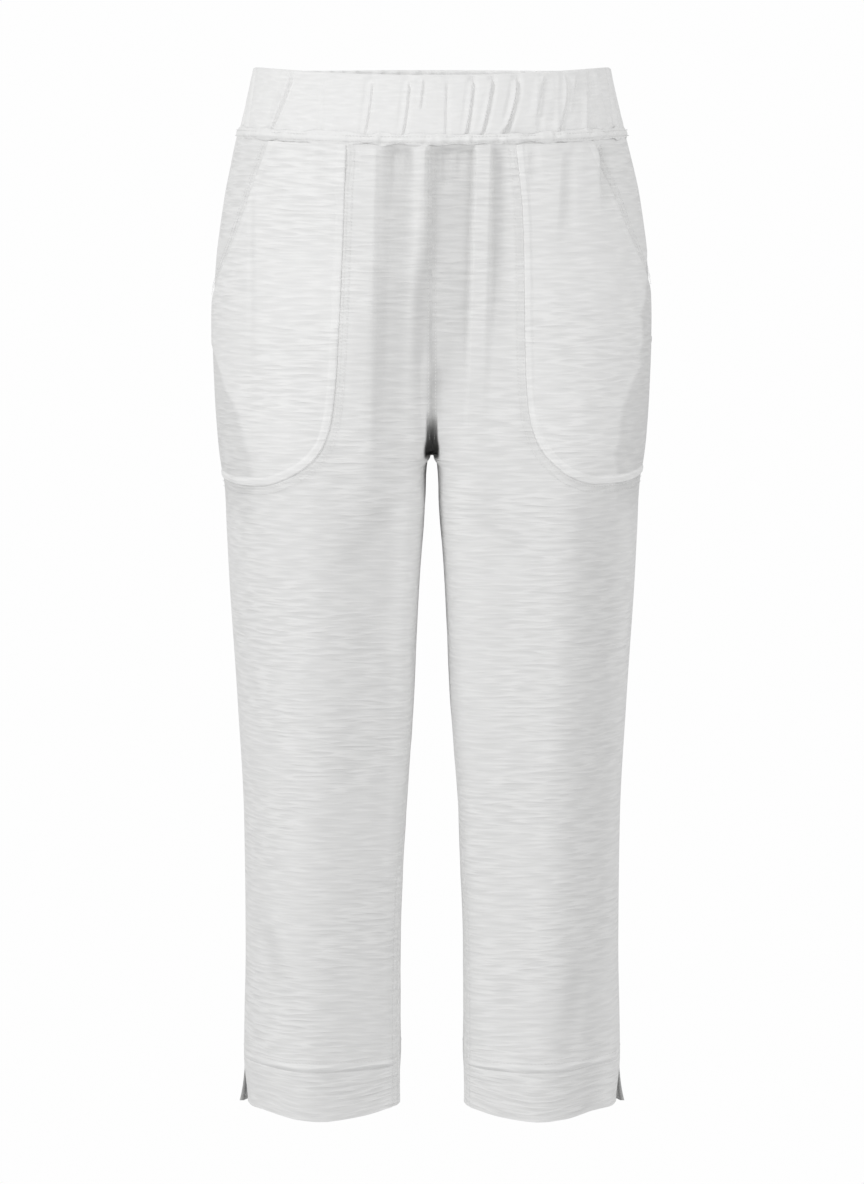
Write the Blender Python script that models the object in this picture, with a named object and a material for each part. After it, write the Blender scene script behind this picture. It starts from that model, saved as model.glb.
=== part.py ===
"""Pull-on capri pants in white slub knit, standing open as they are when worn.

Metres, +Z up, front towards -Y. The origin is the middle of the elastic waist,
where the wearer holds the garment up. Every cut piece is a closed wall of cloth
of its own. All of them come from one surface: a half section of the body at each
height. It is an oval that is the whole torso at the waist and one leg below the
crotch, and that leaves the centre plane between them, so the centre seams run
down into a J and meet the inseams between the legs.
"""
import math
from collections import namedtuple

import bpy
import numpy as np

# Cloth, in metres
CLOTH = 0.0012
HEM_CLOTH = 0.0024
BAND_CLOTH = 0.0030
GAP = 0.0003
STANDOFF = 0.0016

# Heights, at the side seams
TOP_Z = 0.0280
SEAM_Z = -0.0272
DIP_END_Z = -0.2000
CROTCH_Z = -0.3056
HEM_STITCH_Z = -0.8300
SLIT_Z = -0.8444
HEM_Z = -0.8770

# The waist lies lower in front and higher behind than at the sides
FRONT_DIP = 0.0078
BACK_RISE = 0.0045

# The ovals of the two legs run together above the crotch. Each row says at which
# height they start to part, how softly, and how square the oval is inside
Parting = namedtuple("Parting", "start_z softness squareness")
FRONT_PARTING = Parting(-0.1300, 1.00, 4.20)
BACK_PARTING = Parting(-0.0600, 1.50, 2.80)
OUTER_SQUARENESS = 2.15

# The widest line of the body, and how far the side seams lie before it. The
# inseams start on it at the crotch and come forward on their way down
MID_Y = 0.0040
SIDE_FORWARD = 0.0120
INSEAM_FORWARD = 0.0560
INSEAM_TURN_Z = -0.5000
QUARTER_STEPS = 24

# Half the body at each height: how far it reaches out, in, forward and back
Section = namedtuple("Section", "z outer inner front back")
SECTIONS = [Section(*row) for row in (
    (0.0280, 0.1530, 0.0000, 0.1000, 0.1080),
    (0.0000, 0.1592, 0.0000, 0.1035, 0.1120),
    (-0.0300, 0.1665, 0.0000, 0.1080, 0.1170),
    (-0.0850, 0.1791, 0.0000, 0.1130, 0.1270),
    (-0.1500, 0.1880, 0.0000, 0.1145, 0.1345),
    (-0.1900, 0.1901, 0.0000, 0.1135, 0.1355),
    (-0.2500, 0.1886, 0.0000, 0.1100, 0.1300),
    (-0.3056, 0.1844, 0.0000, 0.1065, 0.1180),
    (-0.3120, 0.1838, 0.0032, 0.1058, 0.1160),
    (-0.3450, 0.1803, 0.0052, 0.1025, 0.1080),
    (-0.4150, 0.1760, 0.0110, 0.0960, 0.0985),
    (-0.5200, 0.1696, 0.0163, 0.0870, 0.0910),
    (-0.6250, 0.1646, 0.0233, 0.0790, 0.0860),
    (-0.7300, 0.1639, 0.0273, 0.0735, 0.0820),
    (-0.8050, 0.1656, 0.0276, 0.0720, 0.0790),
    (-0.8770, 0.1668, 0.0268, 0.0720, 0.0780),
)]

# Soft folds below the waist seam; a height below zero is a trough. Each one
# deepens over its first stretch and fades over the last share of its length
FOLD_START = 0.0140
FOLD_FADE = 0.35
SEAM_CALM = 0.0120
Fold = namedtuple("Fold", "x_top x_end z_top z_end half_width height")
FRONT_FOLDS = [Fold(*row) for row in (
    (-0.0590, -0.0585, -0.030, -0.300, 0.0095, 0.0026),
    (-0.0445, -0.0510, -0.030, -0.285, 0.0110, -0.0050),
    (-0.0125, -0.0215, -0.030, -0.210, 0.0090, 0.0024),
    (0.0130, 0.0040, -0.030, -0.150, 0.0200, -0.0042),
    (0.0385, 0.0215, -0.030, -0.300, 0.0100, 0.0028),
    (0.0545, 0.0580, -0.030, -0.215, 0.0100, -0.0044),
    (0.1130, 0.1120, -0.032, -0.120, 0.0090, -0.0014),
    (-0.1120, -0.1180, -0.032, -0.110, 0.0110, -0.0012),
    (-0.1580, -0.1280, -0.730, -0.850, 0.0170, -0.0028),
    (0.1380, 0.1180, -0.750, -0.885, 0.0150, -0.0030),
)]
BACK_FOLDS = [Fold(*row) for row in (
    (-0.1220, -0.1300, -0.030, -0.150, 0.0110, -0.0030),
    (-0.0880, -0.0930, -0.030, -0.210, 0.0120, -0.0046),
    (-0.0560, -0.0540, -0.030, -0.130, 0.0100, -0.0034),
    (-0.0260, -0.0330, -0.030, -0.180, 0.0100, -0.0044),
    (0.0100, 0.0060, -0.030, -0.120, 0.0090, -0.0030),
    (0.0370, 0.0420, -0.030, -0.200, 0.0110, -0.0046),
    (0.0710, 0.0720, -0.030, -0.140, 0.0100, -0.0034),
    (0.1040, 0.1120, -0.030, -0.190, 0.0120, -0.0042),
    (-0.0400, -0.1250, -0.285, -0.375, 0.0150, -0.0036),
    (0.0450, 0.1300, -0.290, -0.385, 0.0150, -0.0034),
    (-0.1300, -0.1080, -0.760, -0.880, 0.0150, -0.0024),
    (0.1200, 0.1360, -0.740, -0.870, 0.0160, -0.0026),
)]

# Puckers of the elastic casing, by distance round the waist from the centre front
Pucker = namedtuple("Pucker", "round_top round_seam half_width depth")
FRONT_PUCKERS = [Pucker(*row) for row in (
    (-0.1280, -0.1500, 0.0065, 0.0026),
    (-0.0940, -0.0950, 0.0050, 0.0012),
    (-0.0510, -0.0580, 0.0065, 0.0024),
    (-0.0200, -0.0260, 0.0060, 0.0022),
    (0.0120, 0.0110, 0.0055, 0.0014),
    (0.0340, 0.0270, 0.0060, 0.0032),
    (0.0510, 0.0400, 0.0055, 0.0030),
    (0.0720, 0.0610, 0.0065, 0.0034),
    (0.0940, 0.0920, 0.0050, 0.0012),
    (0.1150, 0.1120, 0.0060, 0.0022),
    (0.1460, 0.1470, 0.0060, 0.0022),
)]
BACK_PUCKERS = 15
BACK_PUCKER_FROM = 0.178
BACK_PUCKER_PITCH = 0.0172
LEFT_SHIFT = 0.0040

# The band that covers the waist seam, and the stitched ridge of the hems
WELT_HEIGHT = 0.0094
WELT_THICKNESS = 0.0024
HEM_RIDGE = 0.0007
HEM_RIDGE_HALF = 0.0040

# The side slits: how far the back flap stands out and the front flap lies in
SLIT_FLARE = 0.0052
SLIT_TUCK = 0.0014
SLIT_REACH = 0.0340
SLIT_PART = 0.0008

# Patch pockets, on the front panel's face: the inner edge and the lower edge as
# (x, z), and the slanted mouth as (distance before the side seam, z)
POCKET_INNER = {
    "left": ((0.0712, -0.0322), (0.0740, -0.1100), (0.0791, -0.2180), (0.0830, -0.2600),
             (0.0890, -0.2850), (0.1000, -0.3020)),
    "right": ((0.0696, -0.0322), (0.0755, -0.0971), (0.0784, -0.2300), (0.0818, -0.2657),
              (0.0886, -0.2871), (0.1006, -0.3036)),
}
POCKET_BOTTOM = {
    "left": ((0.1000, -0.3020), (0.1178, -0.3152), (0.1444, -0.3244), (0.1640, -0.3250),
             (0.1815, -0.3225)),
    "right": ((0.1006, -0.3036), (0.1172, -0.3161), (0.1390, -0.3225), (0.1600, -0.3228),
              (0.1815, -0.3185)),
}
POCKET_MOUTH = {
    "left": ((0.0660, -0.0322), (0.0590, -0.0720), (0.0470, -0.1150), (0.0250, -0.1500),
             (0.0000, -0.1760)),
    "right": ((0.0680, -0.0322), (0.0600, -0.0720), (0.0470, -0.1100), (0.0250, -0.1420),
              (0.0000, -0.1660)),
}

# Mesh density: below INSEAM_ROWS_Z the rows crowd towards the crotch
INSEAM_ROWS_Z = -0.2050
FOLD_ZONE_X = 0.0650
FOLD_ZONE_COLUMNS = 8
POCKET_ZONE_COLUMNS = 12
BACK_COLUMNS = 12
BAND_HALF_COLUMNS = 60
BAND_ROWS = 5
POCKET_ROWS = 16
POCKET_COLUMNS_ACROSS = 16

CLOTH_COLOUR = (0.86, 0.86, 0.85, 1.0)
CLOTH_ROUGHNESS = 0.85

SIDES = {"left": -1.0, "right": 1.0}


def smooth_step(value):
    """0 below 0, 1 above 1, and a soft S between."""
    t = np.clip(value, 0.0, 1.0)
    return t * t * (3.0 - 2.0 * t)


def hill(value):
    """1 at 0, falling softly to 0 at -1 and 1."""
    t = np.clip(np.abs(value), 0.0, 1.0)
    return 0.5 + 0.5 * np.cos(math.pi * t)


def monotone_curve(position, stations, values):
    """Cubic through the stations that never overshoots their values."""
    step = np.diff(stations)
    slope = np.diff(values) / step
    tangent = np.zeros(len(values))
    for k in range(1, len(values) - 1):
        if slope[k - 1] * slope[k] > 0.0:
            weight_a = 2.0 * step[k] + step[k - 1]
            weight_b = step[k] + 2.0 * step[k - 1]
            tangent[k] = (weight_a + weight_b) / (weight_a / slope[k - 1] + weight_b / slope[k])
    tangent[0] = slope[0]
    tangent[-1] = slope[-1]
    k = int(np.clip(np.searchsorted(stations, position) - 1, 0, len(step) - 1))
    t = min(max((position - stations[k]) / step[k], 0.0), 1.0)
    start = (2.0 * t ** 3 - 3.0 * t ** 2 + 1.0) * values[k]
    start += (t ** 3 - 2.0 * t ** 2 + t) * step[k] * tangent[k]
    end = (3.0 * t ** 2 - 2.0 * t ** 3) * values[k + 1]
    end += (t ** 3 - t ** 2) * step[k] * tangent[k + 1]
    return float(start + end)


def section_size(z, name):
    """One size of the half section at height z."""
    upwards = SECTIONS[::-1]
    stations = np.array([row.z for row in upwards])
    values = np.array([getattr(row, name) for row in upwards])
    return monotone_curve(z, stations, values)


def oval_face(z, outer, inner, depth, parting):
    """One face of a leg's oval, from the centre plane or inseam to the side.

    The oval reaches past the centre plane on the torso, where it is the whole
    body, and it ends at the inseam below the crotch. Returns x and how far the
    face stands out from the widest line."""
    fallen = (parting.start_z - z) / (parting.start_z - CROTCH_Z)
    parted = min(max(fallen, 0.0), 1.0) ** parting.softness
    half = (outer - inner) / (1.0 + parted)
    centre = outer - half
    start_angle = 0.0
    if inner <= 0.0:
        start_angle = math.acos(min(centre / half, 1.0) ** (parting.squareness / 2.0))
    angle = np.linspace(start_angle, math.pi, 2 * QUARTER_STEPS + 1)
    power = 2.0 / np.where(angle < math.pi / 2.0, parting.squareness, OUTER_SQUARENESS)
    x = centre - half * np.sign(np.cos(angle)) * np.abs(np.cos(angle)) ** power
    return x, depth * np.abs(np.sin(angle)) ** power


class HalfSection:
    """The outer face of one half of the body at one height, from centre front
    or inseam, round the side, to centre back or inseam, on the +X side."""

    def __init__(self, z):
        self.z = z
        self.front = section_size(z, "front")
        self.back = section_size(z, "back")
        outer = section_size(z, "outer")
        inner = section_size(z, "inner")
        front_x, reach = oval_face(z, outer, inner, self.front + MID_Y, FRONT_PARTING)
        front_y = MID_Y - reach
        back_x, reach = oval_face(z, outer, inner, self.back - MID_Y, BACK_PARTING)
        back_y = MID_Y + reach
        self.x = np.concatenate((front_x, back_x[-2::-1]))
        self.y = np.concatenate((front_y, back_y[-2::-1]))
        steps = np.hypot(np.diff(self.x), np.diff(self.y))
        self.run = np.concatenate(([0.0], np.cumsum(steps)))
        self.length = float(self.run[-1])
        self.side = float(self.run[2 * QUARTER_STEPS]) - SIDE_FORWARD
        turned = smooth_step((CROTCH_Z - z) / (CROTCH_Z - INSEAM_TURN_Z))
        self.inseam = INSEAM_FORWARD * float(turned)
        self.normal_x = np.gradient(self.y, self.run)
        self.normal_y = -np.gradient(self.x, self.run)

    def run_of_x(self, x):
        """Distance from the front edge to where the front reaches x."""
        half = 2 * QUARTER_STEPS + 1
        return np.interp(x, self.x[:half], self.run[:half])

    def place(self, run, offset, side_sign):
        """World points at distances along the section, moved out by offset.

        A distance past the end of a leg's closed section carries on from its start."""
        if self.inseam > 0.0:
            run = np.where(run > self.length, run - self.length, run)
        x = np.interp(run, self.run, self.x)
        y = np.interp(run, self.run, self.y)
        normal_x = np.interp(run, self.run, self.normal_x)
        normal_y = np.interp(run, self.run, self.normal_y)
        size = np.hypot(normal_x, normal_y)
        reach_x = x + normal_x / size * offset
        reach_y = y + normal_y / size * offset
        facing = np.where(y < MID_Y, (MID_Y - y) / (self.front + MID_Y), 0.0)
        facing_back = np.where(y > MID_Y, (y - MID_Y) / (self.back - MID_Y), 0.0)
        tilt = BACK_RISE * facing_back ** 2 - FRONT_DIP * facing ** 2
        height = self.z + tilt * smooth_step((self.z - DIP_END_Z) / (SEAM_Z - DIP_END_Z))
        return np.stack((side_sign * np.maximum(reach_x, GAP / 2.0), reach_y, height), axis=-1)


def fold_height(folds, x, z):
    """How far the folds of a table push the cloth out at x and z."""
    total = np.zeros_like(x)
    for fold in folds:
        along = (fold.z_top - z) / (fold.z_top - fold.z_end)
        if not 0.0 < along < 1.0:
            continue
        centre = fold.x_top + (fold.x_end - fold.x_top) * along
        strength = smooth_step((fold.z_top - z) / FOLD_START)
        strength *= 1.0 - smooth_step((along - FOLD_FADE) / (1.0 - FOLD_FADE))
        total += fold.height * strength * hill((x - centre) / fold.half_width)
    return total


def back_puckers():
    """Uneven puckers that carry on round the sides and back, on both halves."""
    rows = []
    for index in range(BACK_PUCKERS):
        wobble = math.sin(2.4 * index + 0.7)
        lean = 0.0035 * math.sin(1.7 * index)
        middle = BACK_PUCKER_FROM + BACK_PUCKER_PITCH * index + 0.0030 * wobble
        depth = 0.0022 + 0.0008 * math.sin(4.1 * index)
        rows.append(Pucker(middle + lean, middle - lean, 0.0060 + 0.0008 * wobble, depth))
    return rows


def pucker_height(round_waist, rise):
    """Depth of the casing's puckers; rise is 0 at the seam and 1 at the top."""
    total = np.zeros_like(round_waist)
    behind = back_puckers()
    other_half = [row._replace(round_top=-LEFT_SHIFT - row.round_top,
                               round_seam=-LEFT_SHIFT - row.round_seam) for row in behind]
    for pucker in FRONT_PUCKERS + behind + other_half:
        centre = pucker.round_seam + (pucker.round_top - pucker.round_seam) * rise
        total -= pucker.depth * hill((round_waist - centre) / pucker.half_width)
    ends = smooth_step(rise / 0.20 + 0.15) * smooth_step((1.0 - rise) / 0.14 + 0.25)
    return total * ends


def panel_height(section, run, side_sign, is_front):
    """Folds, hem ridge and slit flaps of a panel, as a distance moved out."""
    z = section.z
    x = side_sign * np.interp(run, section.run, section.x)
    folds = FRONT_FOLDS if is_front else BACK_FOLDS
    total = fold_height(folds, x, z)
    edge_run = section.length + section.inseam - run
    seam_fade = smooth_step(np.minimum(run - section.inseam, edge_run) / SEAM_CALM)
    if z > INSEAM_ROWS_Z:
        seam_fade = np.ones_like(run)
    side_fade = smooth_step(np.abs(run - section.side) / SEAM_CALM)
    total = total * seam_fade * side_fade
    total += HEM_RIDGE * hill((z - HEM_STITCH_Z) / HEM_RIDGE_HALF)
    open_share = min(max((SLIT_Z - z) / (SLIT_Z - HEM_Z), 0.0), 1.0) ** 1.4
    flap = hill((run - section.side) / SLIT_REACH) * open_share
    return total + (-SLIT_TUCK if is_front else SLIT_FLARE) * flap


def wall_mesh(name, outer, inner, closed_round, inside_out):
    """Closed wall between two grids of points, joined along their rims. Both faces
    are split along the same diagonals, so they stay a wall apart where they twist."""
    rows, columns = outer.shape[:2]
    points = np.concatenate((outer.reshape(-1, 3), inner.reshape(-1, 3)))
    inner_start = rows * columns
    faces = []

    def corner(row, col, start):
        return start + row * columns + col % columns

    spans = columns if closed_round else columns - 1
    for row in range(rows - 1):
        for col in range(spans):
            low, high = (row, col), (row + 1, col + 1)
            for half in ((low, (row + 1, col), high), (low, high, (row, col + 1))):
                faces.append([corner(r, c, 0) for r, c in half])
                faces.append([corner(r, c, inner_start) for r, c in reversed(half)])
    rims = [((0, col), (0, col + 1)) for col in range(spans)]
    rims += [((rows - 1, col + 1), (rows - 1, col)) for col in range(spans)]
    if not closed_round:
        rims += [((row + 1, 0), (row, 0)) for row in range(rows - 1)]
        rims += [((row, columns - 1), (row + 1, columns - 1)) for row in range(rows - 1)]
    for (row_a, col_a), (row_b, col_b) in rims:
        faces.append([corner(row_a, col_a, 0), corner(row_b, col_b, 0),
                      corner(row_b, col_b, inner_start), corner(row_a, col_a, inner_start)])
    if inside_out:
        faces = [face[::-1] for face in faces]
    mesh = bpy.data.meshes.new(name)
    mesh.from_pydata(points.tolist(), [], faces)
    mesh.validate()
    mesh.shade_smooth()
    mesh.set_sharp_from_angle(angle=math.radians(50.0))
    return mesh


def cloth_material(name):
    material = bpy.data.materials.new(name + "_cloth")
    material.use_nodes = True
    shader = material.node_tree.nodes["Principled BSDF"]
    shader.inputs["Base Color"].default_value = CLOTH_COLOUR
    shader.inputs["Roughness"].default_value = CLOTH_ROUGHNESS
    shader.inputs["Metallic"].default_value = 0.0
    return material


def add_piece(name, mesh, parent):
    piece = bpy.data.objects.new(name, mesh)
    mesh.materials.append(cloth_material(name))
    piece.parent = parent
    bpy.context.collection.objects.link(piece)
    return piece


def panel_heights():
    """Row heights of a panel, from the waist seam to the hem."""
    heights = [SEAM_Z - GAP / 2.0]
    heights += list(np.linspace(SEAM_Z - 0.010, INSEAM_ROWS_Z, 11))
    for turn in np.linspace(0.0, math.pi / 2.0, 9)[1:]:
        heights.append(INSEAM_ROWS_Z - (INSEAM_ROWS_Z - CROTCH_Z) * math.sin(turn))
    heights += [CROTCH_Z - 0.0030, CROTCH_Z - 0.0100]
    heights += list(np.linspace(CROTCH_Z - 0.030, HEM_STITCH_Z + 0.060, 9))
    heights += [HEM_STITCH_Z + step for step in (0.030, HEM_RIDGE_HALF, 0.0, -HEM_RIDGE_HALF)]
    heights += [SLIT_Z, (SLIT_Z + HEM_Z) / 2.0, HEM_Z]
    return heights


def panel_runs(section, is_front):
    """Column places across a panel at one height, clear of its seams."""
    slit_share = min(max((SLIT_Z - section.z) / (SLIT_Z - HEM_Z), 0.0), 1.0)
    side_gap = GAP / 2.0 + SLIT_PART * slit_share
    inner_gap = GAP / 2.0 if section.z <= CROTCH_Z else 0.0
    if is_front:
        middle = float(section.run_of_x(FOLD_ZONE_X))
        near_centre = np.linspace(section.inseam + inner_gap, middle, FOLD_ZONE_COLUMNS + 1)
        near_side = np.linspace(middle, section.side - side_gap, POCKET_ZONE_COLUMNS + 1)
        return np.concatenate((near_centre, near_side[1:]))
    share = np.linspace(0.0, 1.0, BACK_COLUMNS + 1)
    start = section.side + side_gap
    return start + (section.length + section.inseam - inner_gap - start) * share


def wall_thickness(z):
    """Single cloth, or double where the hem is turned up."""
    share = float(smooth_step((HEM_STITCH_Z - z) / HEM_RIDGE_HALF))
    return CLOTH + (HEM_CLOTH - CLOTH) * share


def make_panel(name, side_sign, is_front, parent):
    outer = []
    inner = []
    for z in panel_heights():
        section = HalfSection(z)
        run = panel_runs(section, is_front)
        height = panel_height(section, run, side_sign, is_front)
        outer.append(section.place(run, height, side_sign))
        inner.append(section.place(run, height - wall_thickness(z), side_sign))
    mesh = wall_mesh(name, np.array(outer), np.array(inner), False, side_sign < 0)
    return add_piece(name, mesh, parent)


def whole_ring(z, height_of, inset):
    """Points all the way round the waist at one height."""
    section = HalfSection(z)
    run = np.linspace(0.0, section.length, BAND_HALF_COLUMNS + 1)
    right = section.place(run, height_of(run) - inset, 1.0)
    left = section.place(run, height_of(-run) - inset, -1.0)
    right[0, 0] = right[-1, 0] = 0.0
    return np.concatenate((right, left[-2:0:-1]))


def make_waistband(parent):
    bottom = SEAM_Z + GAP / 2.0
    outer = []
    inner = []
    for rise in np.linspace(0.0, 1.0, BAND_ROWS + 1):
        z = bottom + (TOP_Z - bottom) * rise

        def height(run, rise=rise):
            return pucker_height(run, rise)

        outer.append(whole_ring(z, height, 0.0))
        inner.append(whole_ring(z, height, BAND_CLOTH))
    mesh = wall_mesh("waistband", np.array(outer)[::-1], np.array(inner)[::-1], True, False)
    return add_piece("waistband", mesh, parent)


def seam_height(run):
    """How far out the cloth is at the waist seam, above or below it."""
    bottom = SEAM_Z + GAP / 2.0
    rise = (SEAM_Z + WELT_HEIGHT / 2.0 - bottom) / (TOP_Z - bottom)
    below = fold_height(FRONT_FOLDS, run, SEAM_Z - WELT_HEIGHT / 2.0)
    return np.maximum(pucker_height(run, rise), np.maximum(below, 0.0))


def make_waist_seam(parent):
    """The stitched band over the waist seam, with a soft round face."""
    outer = []
    inner = []
    for lift in (1.0, 0.0, -1.0):
        z = SEAM_Z + WELT_HEIGHT / 2.0 * lift
        swell = STANDOFF + WELT_THICKNESS * math.sqrt(max(1.0 - 0.8 * lift * lift, 0.0))

        def face(run, swell=swell):
            return seam_height(run) + swell

        def back(run):
            return seam_height(run) + STANDOFF

        outer.append(whole_ring(z, face, 0.0))
        inner.append(whole_ring(z, back, 0.0))
    mesh = wall_mesh("waist_seam", np.array(outer), np.array(inner), True, False)
    return add_piece("waist_seam", mesh, parent)


def along_points(points, share):
    """Points at even shares of the length of a smooth curve through points."""
    points = np.array(points)
    steps = np.hypot(*np.diff(points, axis=0).T)
    stations = np.concatenate(([0.0], np.cumsum(steps)))
    fine = np.linspace(0.0, stations[-1], 60)
    x = np.array([monotone_curve(place, stations, points[:, 0]) for place in fine])
    z = np.array([monotone_curve(place, stations, points[:, 1]) for place in fine])
    run = np.concatenate(([0.0], np.cumsum(np.hypot(np.diff(x), np.diff(z)))))
    wanted = share * run[-1]
    return np.stack((np.interp(wanted, run, x), np.interp(wanted, run, z)), axis=-1)


def pocket_grid(side):
    """Places of a pocket's points, as distance before the side seam and height."""
    down = np.linspace(0.0, 1.0, POCKET_ROWS + 1)
    across = np.linspace(0.0, 1.0, POCKET_COLUMNS_ACROSS + 1)

    def on_panel(points):
        places = []
        for x, z in points:
            section = HalfSection(z)
            places.append((section.side - float(section.run_of_x(x)), z))
        return np.array(places)

    inner = on_panel(along_points(POCKET_INNER[side], down))
    bottom = on_panel(along_points(POCKET_BOTTOM[side], across))
    low_z = POCKET_BOTTOM[side][-1][1]
    seam = [(0.0, z) for z in np.linspace(POCKET_MOUTH[side][-1][1], low_z, 9)[1:]]
    outer = along_points(list(POCKET_MOUTH[side]) + seam, down)
    outer[:, 0] += GAP / 2.0
    bottom[-1] = outer[-1]
    bottom[0] = inner[-1]
    top = inner[0] + (outer[0] - inner[0]) * across[:, None]
    grid = np.zeros((len(down), len(across), 2))
    for i, v in enumerate(down):
        for j, u in enumerate(across):
            sides = (1.0 - u) * inner[i] + u * outer[i]
            ends = (1.0 - v) * top[j] + v * bottom[j]
            corners = (1.0 - v) * ((1.0 - u) * top[0] + u * top[-1])
            corners = corners + v * ((1.0 - u) * bottom[0] + u * bottom[-1])
            grid[i, j] = sides + ends - corners
    return grid


def make_pocket(name, side, parent):
    side_sign = SIDES[side]
    grid = pocket_grid(side)
    outer = np.zeros(grid.shape[:2] + (3,))
    inner = np.zeros_like(outer)
    for index in np.ndindex(grid.shape[:2]):
        before_side, z = grid[index]
        section = HalfSection(z)
        run = np.array([section.side - before_side])
        height = panel_height(section, run, side_sign, True)
        outer[index] = section.place(run, height + STANDOFF + CLOTH, side_sign)[0]
        inner[index] = section.place(run, height + STANDOFF, side_sign)[0]
    mesh = wall_mesh(name, outer, inner, False, side_sign < 0)
    return add_piece(name, mesh, parent)


def main():
    for old in list(bpy.data.objects):
        bpy.data.objects.remove(old, do_unlink=True)
    parent = bpy.data.objects.new("capri_pants", None)
    bpy.context.collection.objects.link(parent)
    make_waistband(parent)
    make_waist_seam(parent)
    for side, side_sign in SIDES.items():
        make_panel("front_panel_" + side, side_sign, True, parent)
        make_panel("back_panel_" + side, side_sign, False, parent)
        make_pocket("pocket_" + side, side, parent)


main()
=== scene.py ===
"""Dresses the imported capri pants: fine cloth on the form of the solids, with folds,
gathers, turned edges, sewing and slub yarn, in a plain white studio.

Metres, +Z up, front towards -Y, the same frame as the solids.
"""
import math
from collections import namedtuple

import bpy
import numpy as np
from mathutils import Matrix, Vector


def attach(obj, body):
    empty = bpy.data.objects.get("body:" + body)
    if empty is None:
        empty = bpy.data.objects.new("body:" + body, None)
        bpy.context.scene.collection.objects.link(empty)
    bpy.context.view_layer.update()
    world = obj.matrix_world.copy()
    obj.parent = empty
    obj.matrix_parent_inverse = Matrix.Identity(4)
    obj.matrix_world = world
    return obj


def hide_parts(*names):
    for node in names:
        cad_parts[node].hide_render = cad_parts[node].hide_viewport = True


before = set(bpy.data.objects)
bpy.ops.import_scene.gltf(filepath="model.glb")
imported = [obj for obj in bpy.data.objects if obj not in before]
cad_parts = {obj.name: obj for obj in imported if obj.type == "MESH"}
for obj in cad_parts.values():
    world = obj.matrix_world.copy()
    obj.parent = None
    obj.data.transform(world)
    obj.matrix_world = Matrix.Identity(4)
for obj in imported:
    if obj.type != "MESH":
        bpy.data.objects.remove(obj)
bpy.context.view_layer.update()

Station = namedtuple("Station", "place value")


def in_metres(kind, rows):
    """Named rows in metres, from a table in millimetres."""
    return [kind(*(value / 1000 for value in row)) for row in rows]


# Cloth, in metres
CLOTH = 0.0012
HEM_CLOTH = 0.0024
BAND_CLOTH = 0.003

# Heights, at the side seams
TOP_Z = 0.028
SEAM_Z = -0.0272
DIP_END_Z = -0.2
CROTCH_Z = -0.3024
HEM_STITCH_Z = -0.83
SLIT_Z = -0.8444
HEM_Z = -0.877
FRONT_DIP = 0.0078
BACK_RISE = 0.0045
FRONT_RIM_DROP = 0.0016
BACK_RIM_DROP = 0.0028

# The ovals of the two legs run together above the crotch
Parting = namedtuple("Parting", "start_z softness squareness")
FRONT_PARTING = Parting(-0.13, 1, 6.5)
BACK_PARTING = Parting(-0.06, 1.5, 2.8)
PARTING_EASE = 0.86  # the parting eases into the crotch over its last stretch
OUTER_SQUARENESS = 2.15
MID_Y = 0.004
SIDE_FORWARD = 0.012
INSEAM_FORWARD = 0.056
INSEAM_TURN_Z = -0.5

# Half the body at each height: how far it reaches out, in, forward and back
Section = namedtuple("Section", "z outer inner front back")
SECTIONS = in_metres(Section, (
    (28, 153, 0, 100, 108),
    (0, 159.2, 0, 103.5, 112),
    (-30, 166.5, 0, 108, 117),
    (-85, 179.1, 0, 113, 127),
    (-150, 187.3, 0, 114.5, 134.5),
    (-190, 188.8, 0, 113.5, 135.5),
    (-250, 187.1, 0, 110, 130),
    (-302.4, 183.5, 0, 106.7, 118.6),
    (-309, 182.9, 3.8, 106, 116.6),
    (-345, 179.5, 6.2, 102.5, 108),
    (-415, 176, 11, 96, 98.5),
    (-520, 169.6, 16.3, 87, 91),
    (-625, 164.6, 23.3, 79, 86),
    (-730, 163.9, 27.3, 73.5, 82),
    (-805, 165.6, 27.6, 72, 79),
    (-877, 166.8, 26.8, 72, 78),
))

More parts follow.
